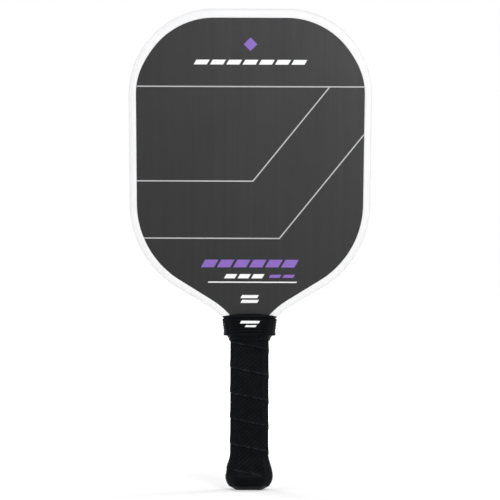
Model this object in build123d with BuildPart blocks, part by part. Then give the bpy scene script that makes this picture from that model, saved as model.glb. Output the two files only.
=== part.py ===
from build123d import *
from math import acos, asin, atan2, ceil, cos, degrees, hypot, pi, radians, sin, sqrt, tan
import os

# A pickleball paddle standing on its butt end. Z runs up the paddle from the butt's flat end,
# X across its width and Y through its thickness, with the front face towards -Y.
# Driving dimensions are in millimetres, and angles in degrees.

# Overall size, measured over the edge guard
overall_length = 402.0
overall_width = 203.2

# Head outline, on the outside of the edge guard
shoulder_radius = 71.3
lower_corner_radius = 81.4
side_taper = 1.1  # how far each side draws in between shoulder and lower corner
slope_angle = 31.6  # straight run from the lower corner to the throat, off horizontal
throat_radius = 62.0
throat_centre_x = 67.0
throat_drop = 46.5  # throat arc's centre below the top of the collar
neck_radius = 12.0  # turns the throat into the straight sides of the tang

# Laminated panel: honeycomb, and on each side a scrim, a glass ply and a carbon ply
core_thickness = 12.7
scrim_thickness = 0.15
glass_ply_thickness = 0.2
carbon_ply_thickness = 0.3
cell_pitch = 10.0
cell_wall = 0.35
core_rim = 0.8  # sealed rim round the cut edge of the honeycomb

# Edge guard and the tape under it
guard_spine = 1.5
guard_lip_width = 6.0
guard_lip_thickness = 0.9
guard_edge_round = 1.6
edge_tape_thickness = 0.4
bond_gap = 0.05  # glue line on each side of the edge tape

# Handle, measured over the grip
grip_width = 32.5
grip_depth = 28.0
grip_bevel = 6.0
bevel_round_ratio = 0.5  # rounding of the octagon's corners, per length of bevel
grip_thickness = 1.7
fit_gap = 0.1  # between pieces that slide over each other
tang_relief = 0.3  # tang's sides inside the octagon's flats

# Butt end: the handle swells to a knob, which narrows again to a flat end
flare_start = 31.0
flare_widest = 12.0
flare_growth = 3.65  # on each side, over the grip
knob_arc_radius = 13.0
knob_edge = 3.7  # height of the corner between the knob's arc and its sloped end
end_inset = 6.5  # the flat end's outline, inside the grip's
wrap_edge = 13.0  # lowest edge of the grip
cap_floor = 4.0
cap_sleeve_top = 26.0
end_disc_diameter = 11.0
end_disc_thickness = 0.5
end_disc_recess = 0.8

# Staples through the cap's sleeve, front and rear
staple_height = 19.0
staple_crown = 11.0
staple_leg = 5.0
staple_wire_width = 1.2
staple_wire_thickness = 0.5
staple_cover = 0.2  # sleeve left standing outside the crown

# Pallets, the two moulded halves on the tang
pallet_bottom = 4.2
pallet_wall = 1.6
pallet_rib = 2.0
pallet_pockets = 5
pocket_start = 30.0
pallet_nose_chamfer = 2.5

# Rubber collar over the throat, built up from its skirt
collar_top = 147.2
collar_arch = 2.2  # rise of its top edge over its half width
skirt_height = 4.6
bead_height = 2.4
rib_count = 5
rib_land = 1.4
rib_groove = 0.8
rib_depth = 0.35
notch_height = 1.0
lip_height = 3.4
lip_beyond_grip = (6.25, -0.5)  # outside of the collar past the grip, in width and in depth
barrel_top_beyond_grip = (6.15, 0.25)
barrel_bottom_beyond_grip = (5.25, 2.25)
bead_beyond_grip = (5.35, 2.7)
notch_inset = 1.2
skirt_wall = 0.8
skirt_round_ratio = 1.0
collar_bevel_ratio = 0.3  # bevel of its section, per depth
collar_round_ratio = 1.1
grip_in_collar = 6.6
pallet_below_lip = 8.2
cavity_roof = 0.3

# Finishing tape round the top of the grip
finishing_tape_thickness = 0.15
finishing_tape_on_grip = 5.0
finishing_tape_on_pallets = 3.0

# Printing, the same on both faces: three pin lines, and plain bars with slanted ends
ink_thickness = 0.08
line_width = 1.0
top_line_drop = 65.0  # below the top of the paddle
upper_kink = (2.4, 110.8)  # across, and above the top of the collar
lower_kink = (24.6, 63.0)
kink_angle = 51.0
mark_slant = 60.0
diamond_side = 8.0
diamond_drop = 29.6
# Rows of bars: across, height, count, length of a bar, gap and height of a bar.
# The heading's height is below the top of the paddle, the others above the top of the collar.
heading_row = (0, -44.6, 7, 11.0, 2.6, 4.0)
white_rows = [
    (-4.6, 31.4, 3, 9.0, 2.4, 3.6),
    (2.2, 26.4, 1, 74.0, 0.0, 1.0),
    (0, 14.4, 1, 14.0, 0.0, 2.6),
    (0, 10.4, 1, 14.0, 0.0, 2.6),
]
violet_rows = [
    (0, 42.0, 6, 11.0, 2.4, 6.4),
    (26.8, 31.4, 2, 9.0, 2.4, 2.6),
]

# ---- sizes that follow ----

half_width = overall_width / 2
scrim_seat = core_thickness / 2
glass_seat = scrim_seat + scrim_thickness
carbon_seat = glass_seat + glass_ply_thickness
panel_half = carbon_seat + carbon_ply_thickness
panel_inset = guard_spine + edge_tape_thickness + 2 * bond_gap
guard_half = panel_half + guard_lip_thickness

handle_inset = grip_thickness + fit_gap
handle_bevel = grip_bevel - handle_inset * (2 - sqrt(2))
side_flat_half = grip_depth / 2 - handle_inset - handle_bevel
bevel_bite = max(0.0, panel_half - side_flat_half)  # where a thick tang meets the bevels
tang_half_width = grip_width / 2 - handle_inset - tang_relief - bevel_bite
pallet_top = collar_top - pallet_below_lip

barrel_height = rib_count * (rib_land + rib_groove)
collar_bottom = collar_top - lip_height - notch_height - barrel_height - bead_height - skirt_height
grip_top = collar_bottom + grip_in_collar
lip_half_width = grip_width / 2 + lip_beyond_grip[0]
arch_radius = (lip_half_width**2 + collar_arch**2) / (2 * collar_arch)
top_line_height = overall_length - top_line_drop

# Centres of the head's arcs. All insets of the outline share them.
slope = radians(slope_angle)
shoulder_centre = (half_width - shoulder_radius, overall_length - shoulder_radius)
throat_centre = (throat_centre_x, collar_top - throat_drop)
lower_centre_x = half_width - side_taper - lower_corner_radius
turning_radii = lower_corner_radius + throat_radius
slope_length = (lower_centre_x + turning_radii * sin(slope) - throat_centre_x) / cos(slope)
lower_centre = (
    lower_centre_x,
    throat_centre[1] + turning_radii * cos(slope) + slope_length * sin(slope),
)
centres_x = shoulder_centre[0] - lower_centre[0]
centres_z = shoulder_centre[1] - lower_centre[1]
side_angle = degrees(
    atan2(centres_z, centres_x)
    - acos((lower_corner_radius - shoulder_radius) / hypot(centres_x, centres_z))
)
neck_reach = throat_radius + panel_inset - neck_radius
neck_centre_x = tang_half_width + neck_radius
neck_offset_x = throat_centre_x - neck_centre_x
neck_centre = (
    neck_centre_x,
    throat_centre[1] + sqrt(neck_reach**2 - neck_offset_x**2),
)
neck_turn = degrees(asin(neck_offset_x / neck_reach))


def paddle_outline(inset, bottom):
    """The head, throat and tang, drawn inside the guard's outline by inset."""
    with BuildSketch(Plane.XZ) as outline:
        with BuildLine():
            crown = overall_length - inset
            Line((0, crown), (shoulder_centre[0], crown))
            shoulder = CenterArc(shoulder_centre, shoulder_radius - inset, 90, side_angle - 90)
            lower = CenterArc(
                lower_centre,
                lower_corner_radius - inset,
                side_angle,
                slope_angle - 90 - side_angle,
            )
            Line(shoulder @ 1, lower @ 0)
            throat = CenterArc(
                throat_centre,
                throat_radius + inset,
                90 + slope_angle,
                neck_turn - slope_angle,
            )
            Line(lower @ 1, throat @ 0)
            neck = CenterArc(
                neck_centre,
                neck_radius + inset - panel_inset,
                90 + neck_turn,
                90 - neck_turn,
            )
            foot = ((neck @ 1).X, bottom)
            Line(neck @ 1, foot)
            Line(foot, (0, bottom))
            mirror(about=Plane.YZ)
        make_face()
    return outline.sketch


def soft_octagon(width, depth, bevel, round_ratio, height):
    """A bevelled rectangle with rounded corners, lying flat at a height."""
    with BuildSketch(Plane.XY.offset(height)) as section:
        Rectangle(width, depth)
        chamfer(section.vertices(), bevel)
        fillet(section.vertices(), bevel * round_ratio)
    return section.sketch


def growth_at(height):
    """How far the handle stands out beyond the straight grip at a height."""
    if height >= flare_start:
        return 0.0
    if height >= flare_widest:
        share = (flare_start - height) / (flare_start - flare_widest)
        return flare_growth * (1 - cos(pi * share)) / 2
    below = flare_widest - height
    return flare_growth - knob_arc_radius + sqrt(knob_arc_radius**2 - below**2)


def straight_section(inset, height):
    """The straight grip's section at a height, drawn inside its outside by inset."""
    bevel = grip_bevel - inset * (2 - sqrt(2))
    return soft_octagon(
        grip_width - 2 * inset, grip_depth - 2 * inset, bevel, bevel_round_ratio, height
    )


def handle_section(inset, height):
    """The same section where the handle follows its flare and knob."""
    return straight_section(inset - growth_at(height), height)


def handle_loft(inset, bottom, top, steps):
    """Sections of the handle from bottom to top, for a loft."""
    rise = (top - bottom) / steps
    return [handle_section(inset, bottom + rise * step) for step in range(steps + 1)]


def slanted_bar(length, height):
    """A bar with slanted ends, the plain mark that the printing is made of."""
    lean = height / tan(radians(mark_slant)) / 2
    corners = [
        (-length / 2 - lean, -height / 2),
        (length / 2 - lean, -height / 2),
        (length / 2 + lean, height / 2),
        (-length / 2 + lean, height / 2),
    ]
    Polygon(*corners, align=None)


def bar_row(across, height, count, length, gap, bar_height):
    """A level row of equal slanted bars about its middle."""
    with Locations((across, height)):
        with GridLocations(length + gap, 0, count, 1):
            slanted_bar(length, bar_height)


# ---- panel ----

panel_outline = paddle_outline(panel_inset, pallet_bottom)
panel_area = panel_outline.bounding_box()
window_outline = paddle_outline(guard_lip_width, collar_bottom)

# Cells of the honeycomb. Those that reach the sealed rim are cut off along it.
cell_radius = (cell_pitch - cell_wall) / sqrt(3)
column_pitch = cell_pitch * sqrt(3) / 2
columns = ceil(half_width / column_pitch)
rows = ceil(overall_length / cell_pitch)
cell_field = paddle_outline(panel_inset + core_rim, pallet_bottom + core_rim).face()
whole_cell_field = paddle_outline(
    panel_inset + core_rim + cell_radius, pallet_bottom + core_rim + cell_radius
).face()


def cell_face(column, row):
    """One hexagonal cell, or what the rim leaves of it, or None outside the panel."""
    x = column * column_pitch
    z = (row + column % 2 / 2) * cell_pitch
    if not cell_field.is_inside((x, 0, z)):
        return None
    corners = [
        (x + cell_radius * cos(radians(turn)), 0, z + cell_radius * sin(radians(turn)))
        for turn in range(0, 360, 60)
    ]
    whole = Face(Wire.make_polygon(corners))
    if whole_cell_field.is_inside((x, 0, z)):
        return whole
    return (Sketch([whole]) & cell_field).face()


cells = [
    cell_face(column, row) for column in range(-columns, columns + 1) for row in range(rows)
]
core_plan = Face(panel_outline.face().outer_wire(), [cell.outer_wire() for cell in cells if cell])

with BuildPart() as honeycomb_core:
    extrude(core_plan.moved(Location((0, scrim_seat, 0))), amount=core_thickness)


def ply(seat, thickness):
    """One sheet of the laminate, the outline of the panel, lying outward from its seat."""
    with BuildPart() as sheet:
        extrude(panel_outline.moved(Location((0, -seat, 0))), amount=thickness)
    return sheet.part


with BuildPart() as front_scrim:
    add(ply(scrim_seat, scrim_thickness))

with BuildPart() as rear_scrim:
    add(ply(-glass_seat, scrim_thickness))

with BuildPart() as front_glass_ply:
    add(ply(glass_seat, glass_ply_thickness))

with BuildPart() as rear_glass_ply:
    add(ply(-carbon_seat, glass_ply_thickness))

with BuildPart() as front_carbon_face:
    add(ply(carbon_seat, carbon_ply_thickness))

with BuildPart() as rear_carbon_face:
    add(ply(-panel_half, carbon_ply_thickness))

# ---- edge ----

# The collar's arched top edge, run through the whole thickness
with BuildSketch(Plane.XZ.offset(-guard_half)) as arch:
    with Locations((0, collar_top - arch_radius)):
        Circle(arch_radius + fit_gap)

with BuildPart() as edge_tape:
    with BuildSketch(Plane.XZ.offset(-panel_half)):
        add(paddle_outline(guard_spine + bond_gap, collar_bottom))
        add(paddle_outline(panel_inset - bond_gap, collar_bottom), mode=Mode.SUBTRACT)
    extrude(amount=2 * panel_half)
    extrude(arch.sketch, amount=2 * guard_half, mode=Mode.SUBTRACT)

with BuildPart() as edge_guard:
    with BuildSketch(Plane.XZ.offset(-guard_half)):
        add(paddle_outline(0, collar_bottom))
    extrude(amount=2 * guard_half)
    rims = edge_guard.edges().filter_by(Plane.XZ).sort_by(Axis.X)
    fillet(rims, guard_edge_round)
    with BuildSketch(Plane.XZ.offset(-panel_half)):
        add(paddle_outline(guard_spine, collar_bottom))
    extrude(amount=2 * panel_half, mode=Mode.SUBTRACT)
    with BuildSketch(Plane.XZ.offset(-guard_half)):
        add(window_outline)
    extrude(amount=2 * guard_half, mode=Mode.SUBTRACT)
    extrude(arch.sketch, amount=2 * guard_half, mode=Mode.SUBTRACT)

# ---- handle ----


def staple(gap):
    """A wire staple driven towards the handle's middle at the rear, swelled by gap."""
    crown_seat = grip_depth / 2 + growth_at(staple_height) - handle_inset - staple_cover
    width = staple_wire_width + 2 * gap
    with BuildPart(Plane.XY.offset(staple_height)) as wire:
        with Locations((0, crown_seat + gap)):
            Box(
                staple_crown + 2 * gap,
                staple_wire_thickness + 2 * gap,
                width,
                align=(Align.CENTER, Align.MAX, Align.CENTER),
            )
        for side in (-1, 1):
            with Locations((side * (staple_crown - staple_wire_width) / 2, crown_seat + gap)):
                Box(
                    width,
                    staple_leg + 2 * gap,
                    width,
                    align=(Align.CENTER, Align.MAX, Align.CENTER),
                )
    return wire.part


with BuildPart() as butt_cap_staples:
    add(staple(0))
    mirror(about=Plane.XZ)

with BuildPart() as staple_slots:
    add(staple(bond_gap))
    mirror(about=Plane.XZ)

with BuildPart() as pallets:
    nose_bottom = pallet_top - pallet_nose_chamfer
    extrude(straight_section(handle_inset, pallet_bottom), amount=nose_bottom - pallet_bottom)
    nose_foot = straight_section(handle_inset, nose_bottom)
    nose_end = straight_section(handle_inset + pallet_nose_chamfer, pallet_top)
    loft([nose_foot, nose_end], ruled=True)
    with BuildSketch(Plane.XZ.offset(-panel_half)):
        Rectangle(grip_width, 3 * overall_length)
    extrude(amount=2 * panel_half, mode=Mode.SUBTRACT)
    pocket_length = (pallet_top - pocket_start) / pallet_pockets - pallet_rib
    pocket_depth = grip_depth / 2 - handle_inset - pallet_wall
    pocket_width = grip_width - 2 * (handle_inset + grip_bevel)
    with BuildSketch(Plane.XZ.offset(-pocket_depth)):
        with Locations((0, (pocket_start + pallet_top) / 2 - pallet_rib)):
            with GridLocations(0, pocket_length + pallet_rib, 1, pallet_pockets):
                RectangleRounded(pocket_width, pocket_length, pallet_wall)
    extrude(amount=2 * pocket_depth, mode=Mode.SUBTRACT)
    add(staple_slots.part, mode=Mode.SUBTRACT)

with BuildPart() as front_pallet:
    add(pallets.part.solids().sort_by(Axis.Y)[0])

with BuildPart() as rear_pallet:
    add(pallets.part.solids().sort_by(Axis.Y)[-1])

with BuildPart() as end_disc:
    with BuildSketch(Plane.XY.offset(end_disc_recess - end_disc_thickness)):
        Circle(end_disc_diameter / 2 - fit_gap)
    extrude(amount=end_disc_thickness)

with BuildPart() as butt_cap:
    knob_corner = handle_section(0, knob_edge)
    loft([handle_section(end_inset + growth_at(0), 0), knob_corner], ruled=True)
    loft(handle_loft(0, knob_edge, wrap_edge - fit_gap, 5))
    loft(handle_loft(handle_inset, wrap_edge - fit_gap, cap_sleeve_top, 6))
    extrude(
        straight_section(handle_inset - fit_gap, cap_floor),
        amount=cap_sleeve_top,
        mode=Mode.SUBTRACT,
    )
    with BuildSketch():
        Circle(end_disc_diameter / 2)
    extrude(amount=end_disc_recess, mode=Mode.SUBTRACT)
    add(staple_slots.part, mode=Mode.SUBTRACT)

with BuildPart() as grip_tape:
    loft(handle_loft(0, wrap_edge, flare_start, 6))
    extrude(straight_section(0, flare_start), amount=grip_top - flare_start)
    loft(handle_loft(grip_thickness, wrap_edge, flare_start, 6), mode=Mode.SUBTRACT)
    extrude(
        straight_section(grip_thickness, flare_start),
        amount=grip_top - flare_start,
        mode=Mode.SUBTRACT,
    )

with BuildPart() as finishing_tape:
    tape_bottom = grip_top - finishing_tape_on_grip
    over_grip = grip_top + bond_gap
    extrude(
        straight_section(-bond_gap - finishing_tape_thickness, tape_bottom),
        amount=over_grip + finishing_tape_thickness - tape_bottom,
    )
    extrude(
        straight_section(handle_inset - bond_gap - finishing_tape_thickness, grip_top),
        amount=finishing_tape_on_pallets,
    )
    extrude(
        straight_section(-bond_gap, tape_bottom),
        amount=over_grip - tape_bottom,
        mode=Mode.SUBTRACT,
    )
    extrude(
        straight_section(handle_inset - bond_gap, grip_top),
        amount=finishing_tape_on_pallets,
        mode=Mode.SUBTRACT,
    )

# ---- collar ----


def collar_section(beyond_grip, inset, height):
    """One level section of the collar's outside."""
    width = grip_width + 2 * (beyond_grip[0] - inset)
    depth = grip_depth + 2 * (beyond_grip[1] - inset)
    return soft_octagon(width, depth, depth * collar_bevel_ratio, collar_round_ratio, height)


def barrel_beyond_grip(share):
    """The barrel's outside past the grip, at a share of the way up it."""
    return [
        low + (high - low) * share
        for low, high in zip(barrel_bottom_beyond_grip, barrel_top_beyond_grip)
    ]


skirt_top = collar_bottom + skirt_height
bead_top = skirt_top + bead_height
barrel_top = bead_top + barrel_height
notch_top = barrel_top + notch_height
tape_outside = finishing_tape_thickness + bond_gap

with BuildPart() as collar:
    skirt_outside = tape_outside + fit_gap + skirt_wall
    skirt_foot = soft_octagon(
        grip_width + 2 * skirt_outside,
        grip_depth + 2 * skirt_outside,
        grip_bevel,
        skirt_round_ratio,
        collar_bottom,
    )
    loft([skirt_foot, collar_section(bead_beyond_grip, 0, skirt_top)])
    extrude(collar_section(bead_beyond_grip, 0, skirt_top), amount=bead_height)
    for rib in range(rib_count):
        beyond_grip = barrel_beyond_grip(rib / (rib_count - 1))
        foot = bead_top + rib * (rib_land + rib_groove)
        extrude(collar_section(beyond_grip, rib_depth, foot), amount=rib_groove)
        extrude(collar_section(beyond_grip, 0, foot + rib_groove), amount=rib_land)
    extrude(collar_section(lip_beyond_grip, notch_inset, barrel_top), amount=notch_height)
    extrude(collar_section(lip_beyond_grip, 0, notch_top), amount=lip_height)
    with BuildSketch(Plane.XZ.offset(-grip_depth)):
        with Locations((0, collar_top - arch_radius)):
            Circle(arch_radius)
    extrude(amount=2 * grip_depth, mode=Mode.INTERSECT)
    extrude(
        straight_section(-tape_outside - fit_gap, collar_bottom),
        amount=grip_top + tape_outside + fit_gap - collar_bottom,
        mode=Mode.SUBTRACT,
    )
    extrude(
        straight_section(handle_inset - tape_outside - fit_gap, grip_top),
        amount=pallet_top + cavity_roof - grip_top,
        mode=Mode.SUBTRACT,
    )
    slot = paddle_outline(panel_inset - fit_gap, pallet_bottom)
    extrude(
        slot.moved(Location((0, panel_half + fit_gap, 0))),
        amount=2 * (panel_half + fit_gap),
        mode=Mode.SUBTRACT,
    )

# ---- printing ----

print_field = paddle_outline(guard_lip_width + fit_gap, collar_top)
kink_slope = tan(radians(kink_angle))
upper_height = collar_top + upper_kink[1]
lower_height = collar_top + lower_kink[1]
upper_run = (top_line_height - upper_height) / kink_slope
lower_rise = (half_width - lower_kink[0]) * kink_slope

with BuildSketch(Plane.XZ) as line_art:
    with BuildLine():
        Line((-half_width, top_line_height), (half_width, top_line_height))
        Polyline(
            (-half_width, upper_height),
            (upper_kink[0], upper_height),
            (upper_kink[0] + upper_run, top_line_height),
        )
        Polyline(
            (-half_width, lower_height),
            (lower_kink[0], lower_height),
            (half_width, lower_height + lower_rise),
        )
    trace(line_width=line_width)
    add(print_field, mode=Mode.INTERSECT)

with BuildSketch(Plane.XZ) as white_art:
    across, drop, *bars = heading_row
    bar_row(across, overall_length + drop, *bars)
    for across, rise, *bars in white_rows:
        bar_row(across, collar_top + rise, *bars)

with BuildSketch(Plane.XZ) as violet_art:
    with Locations((0, overall_length - diamond_drop)):
        Rectangle(diamond_side, diamond_side, rotation=45)
    for across, rise, *bars in violet_rows:
        bar_row(across, collar_top + rise, *bars)


def printed_both_sides(art):
    """A print on the front face, and the same print on the rear face."""
    with BuildPart() as front_ink:
        extrude(art.moved(Location((0, -panel_half, 0))), amount=ink_thickness)
    with BuildPart() as ink:
        add(front_ink.part)
        add(front_ink.part, rotation=(0, 0, 180))
    return ink.part


with BuildPart() as pin_lines:
    add(printed_both_sides(line_art.sketch))

with BuildPart() as white_marks:
    add(printed_both_sides(white_art.sketch))

with BuildPart() as violet_marks:
    add(printed_both_sides(violet_art.sketch))

# ---- export ----

pieces = {
    "honeycomb_core": honeycomb_core,
    "front_scrim": front_scrim,
    "rear_scrim": rear_scrim,
    "front_glass_ply": front_glass_ply,
    "rear_glass_ply": rear_glass_ply,
    "front_carbon_face": front_carbon_face,
    "rear_carbon_face": rear_carbon_face,
    "edge_tape": edge_tape,
    "edge_guard": edge_guard,
    "front_pallet": front_pallet,
    "rear_pallet": rear_pallet,
    "butt_cap": butt_cap,
    "end_disc": end_disc,
    "butt_cap_staples": butt_cap_staples,
    "grip_tape": grip_tape,
    "finishing_tape": finishing_tape,
    "collar": collar,
    "pin_lines": pin_lines,
    "white_marks": white_marks,
    "violet_marks": violet_marks,
}
for name, piece in pieces.items():
    piece.part.label = name
    export_step(piece.part, f"parts/{name}.step")
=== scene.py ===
from math import acos, atan2, ceil, cos, exp, hypot, pi, radians, sin, sqrt, tan

import bmesh
import bpy
from bpy.props import FloatProperty, FloatVectorProperty, IntProperty, PointerProperty
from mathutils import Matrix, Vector


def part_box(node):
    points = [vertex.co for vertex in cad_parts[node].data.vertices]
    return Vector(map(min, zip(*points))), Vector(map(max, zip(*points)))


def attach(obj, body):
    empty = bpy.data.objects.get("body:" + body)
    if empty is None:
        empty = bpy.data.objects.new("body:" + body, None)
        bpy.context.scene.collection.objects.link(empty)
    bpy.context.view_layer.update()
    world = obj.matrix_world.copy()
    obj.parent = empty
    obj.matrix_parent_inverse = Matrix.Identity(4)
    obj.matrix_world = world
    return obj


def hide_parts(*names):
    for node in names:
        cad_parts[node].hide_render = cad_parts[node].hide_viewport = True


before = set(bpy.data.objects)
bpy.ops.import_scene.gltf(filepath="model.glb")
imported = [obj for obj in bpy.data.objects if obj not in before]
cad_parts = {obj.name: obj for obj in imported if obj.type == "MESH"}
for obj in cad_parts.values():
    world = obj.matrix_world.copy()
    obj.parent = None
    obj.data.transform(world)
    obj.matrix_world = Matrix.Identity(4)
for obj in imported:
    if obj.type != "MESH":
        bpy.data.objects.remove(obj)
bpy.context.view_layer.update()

bl_info = {
    "name": "Pickleball paddle",
    "version": (1, 0, 0),
    "blender": (4, 5, 0),
    "location": "3D View > Sidebar > Paddle",
    "description": "Makes a pickleball paddle's grip, collar, edge guard and finishes round its frame",
    "category": "Object",
}

mm = 0.001
grip_low, grip_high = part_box("grip_tape")
collar_low, collar_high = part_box("collar")
guard_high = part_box("edge_guard")[1]
cap_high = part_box("butt_cap")[1]
face_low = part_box("front_carbon_face")[0]


# ---- sizes and colours that a user would change ----


def length(name, description, default):
    return FloatProperty(
        name=name, description=description, default=default * mm, unit="LENGTH", subtype="DISTANCE"
    )


def angle(name, description, default):
    return FloatProperty(
        name=name, description=description, default=radians(default), unit="ROTATION", subtype="ANGLE"
    )


def colour(name, description, default):
    return FloatVectorProperty(
        name=name, description=description, default=default, size=3, min=0, max=1, subtype="COLOR"
    )


class PaddleHead(bpy.types.PropertyGroup):
    shoulder_radius: length("Shoulder radius", "Radius of the head's upper corners", 71.3)
    lower_radius: length("Lower corner radius", "Radius of the head's lower corners", 81.4)
    side_taper: length("Side taper", "How far each side draws in going down", 1.1)
    slope: angle("Slope", "Straight run from the lower corner to the throat", 31.6)
    throat_radius: length("Throat radius", "Radius of the throat's hollow curve", 62.0)
    throat_across: length("Throat centre", "Throat curve's centre from the middle", 67.0)
    throat_drop: length("Throat drop", "Throat curve's centre below the collar's top", 46.5)
    spine: length("Guard spine", "Thickness of the guard over the panel's edge", 1.5)
    lip: length("Guard lip", "Width of the guard seen from the front", 6.0)
    top_lip: length("Top lip", "Extra width of the lip over the head's top", 1.5)
    top_lip_start: length("Top lip start", "Height at which the lip starts to widen", 338.0)
    top_lip_full: length("Top lip full", "Height from which the lip is at its widest", 374.0)
    bead_radius: length("Guard bead", "Radius of the bead along the guard's outer edge", 1.05)
    groove: length("Guard groove", "Depth of the line inside the guard's bead", 0.16)
    crown: length("Guard crown", "How much the lip's surface bulges", 0.12)


class PaddleHandle(bpy.types.PropertyGroup):
    width: length("Grip width", "Across the grip", 32.5)
    depth: length("Grip depth", "Through the grip", 28.0)
    bevel: length("Grip bevel", "Cut of the octagon's corners", 6.0)
    round_ratio: FloatProperty(
        name="Corner rounding", description="Rounding of the corners, per bevel", default=0.5
    )
    flare_start: length("Flare start", "Height at which the handle starts to swell", 31.0)
    flare_widest: length("Flare widest", "Height of the widest place of the knob", 12.0)
    flare_growth: length("Flare growth", "How far the knob stands out on each side", 3.65)
    knob_radius: length("Knob radius", "Radius of the knob's profile", 13.0)
    wrap_pitch: length("Wrap pitch", "Height between one seam of the wrap and the next", 21.2)
    wrap_seam: length("Wrap seam height", "Lowest seam's height at the front's middle", 13.8)
    wrap_proud: length("Overlap height", "How far an overlapping edge stands out", 0.55)
    wrap_overlap: length("Overlap length", "Over what height an overlap fades out", 3.2)
    wrap_groove: length("Seam groove", "Depth of the groove under an overlap", 0.5)
    hole_depth: length("Hole depth", "Depth of the wrap's vent holes", 0.5)
    thickness: length("Wrap thickness", "Thickness of the cushion wrap", 1.6)


class PaddleCollar(bpy.types.PropertyGroup):
    arch: length("Arch", "Rise of the collar's top edge at its middle", 2.2)
    skirt: length("Skirt", "Height of the skirt over the grip", 4.6)
    bead: length("Bead", "Height of the bead above the skirt", 2.4)
    rib_land: length("Rib", "Height of each rib", 1.7)
    rib_gap: length("Groove", "Height of each groove between ribs", 0.5)
    rib_depth: length("Rib depth", "How far the ribs stand out", 0.26)
    ribs: IntProperty(name="Ribs", description="How many ribs the barrel has", default=5)
    notch: length("Notch", "Height of the notch under the lip", 1.0)
    notch_depth: length("Notch depth", "Depth of the notch under the lip", 1.15)
    edge: length("Edge rounding", "Rounding of the lip and the bead", 0.7)
    lip_out: length("Lip, across", "Lip beyond the grip, to each side", 6.7)
    lip_deep: length("Lip, through", "Lip beyond the grip, front and rear", -0.5)
    barrel_top_out: length("Barrel's top, across", "Barrel's top beyond the grip, to each side", 6.6)
    barrel_top_deep: length("Barrel's top, through", "Barrel's top beyond the grip, front and rear", 0.25)
    barrel_foot_out: length("Barrel's foot, across", "Barrel's foot beyond the grip, to each side", 5.45)
    barrel_foot_deep: length(
        "Barrel's foot, through", "Barrel's foot beyond the grip, front and rear", 2.25
    )
    bead_out: length("Bead, across", "Bead beyond the grip, to each side", 5.6)
    bead_deep: length("Bead, through", "Bead beyond the grip, front and rear", 2.7)
    neck_out: length("Neck, across", "Skirt's top beyond the grip, to each side", 2.55)
    neck_deep: length("Neck, through", "Skirt's top beyond the grip, front and rear", 1.5)
    foot_out: length("Foot", "Skirt's foot beyond the grip, all round", 0.95)


class PaddleColours(bpy.types.PropertyGroup):
    carbon: colour("Carbon", "The face's outer ply", (0.0118, 0.0118, 0.0124))
    guard: colour("Guard", "The edge guard", (0.88, 0.88, 0.89))
    grip: colour("Grip", "The cushion wrap", (0.0032, 0.0036, 0.0046))
    rubber: colour("Rubber", "The collar", (0.0022, 0.0027, 0.0037))
    cap: colour("Cap", "The butt cap", (0.0028, 0.0032, 0.0041))
    pin_line: colour("Pin lines", "Thin lines on the face", (0.47, 0.47, 0.48))
    white: colour("White ink", "White bars on the face", (0.90, 0.90, 0.90))
    violet: colour("Violet ink", "Violet bars on the face", (0.205, 0.093, 0.47))


class PaddleStage(bpy.types.PropertyGroup):
    lens: FloatProperty(name="Lens", description="Camera's focal length, mm", default=250.0)
    view_width: length("View width", "What the camera takes in at the paddle", 418.65)
    view_height: length("View height", "Height that the camera looks at", 200.5)
    view_across: length("View across", "Where the camera looks, to the right of the middle", 0.13)
    roll: angle("Roll", "How far the camera leans to its right", -0.2)
    ambient: FloatProperty(name="Ambient", description="Light from all round", default=0.40)
    floor_lift: FloatProperty(name="Floor lift", description="Extra white of the floor", default=0.30)
    floor_size: FloatProperty(
        name="Floor size", description="Half the floor's side", default=12.0, unit="LENGTH"
    )


# ---- making meshes ----


def link_piece(name, mesh_maker, material, sharp=35):
    """Turns a bmesh into a smooth piece of the scene."""
    mesh = bpy.data.meshes.new(name)
    bmesh.ops.recalc_face_normals(mesh_maker, faces=mesh_maker.faces)
    for one in mesh_maker.faces:
        one.smooth = True
    mesh_maker.to_mesh(mesh)
    mesh_maker.free()
    mesh.set_sharp_from_angle(angle=radians(sharp))
    piece = bpy.data.objects.new(name, mesh)
    bpy.context.scene.collection.objects.link(piece)
    mesh.materials.append(material)
    return piece


def bent_grid(columns, rows, place, marks=None):
    """A grid whose corner at (column, row) is moved to place(column, row), welded where it meets.

    Marks are functions of (column, row) too, kept on the corners under their names.
    """
    shape = bmesh.new()
    bmesh.ops.create_grid(shape, x_segments=columns, y_segments=rows, size=0.5)
    marks = marks or {}
    for name in marks:
        shape.verts.layers.float.new(name)
    for vert in shape.verts:
        column = round((vert.co.x + 0.5) * columns)
        row = round((vert.co.y + 0.5) * rows)
        vert.co = place(column, row)
        for name, mark in marks.items():
            vert[shape.verts.layers.float[name]] = mark(column, row)
    bmesh.ops.remove_doubles(shape, verts=shape.verts, dist=0.0005 * mm)
    return shape


def skin_of(rings):
    """A skin over rings that all have the same number of points."""
    columns = len(rings[0])
    return bent_grid(columns, len(rings) - 1, lambda column, row: rings[row][column % columns])


def outline_of(width, depth, bevel, rounding):
    """Corners of a bevelled rectangle with rounded corners, as one flat face gives them."""
    flat = bmesh.new()
    bmesh.ops.create_grid(flat, x_segments=1, y_segments=1, size=0.5)
    bmesh.ops.scale(flat, vec=(width, depth, 1), verts=flat.verts)
    for reach, segments in ((bevel, 1), (rounding * tan(pi / 8), 6)):
        bmesh.ops.bevel(
            flat, geom=flat.verts[:], offset=reach, offset_type="OFFSET", affect="VERTICES",
            segments=segments, profile=0.5, material=-1,
        )
    flat.faces.ensure_lookup_table()
    corners = [corner.vert.co.copy() for corner in flat.faces[0].loops]
    flat.free()
    return corners


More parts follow.
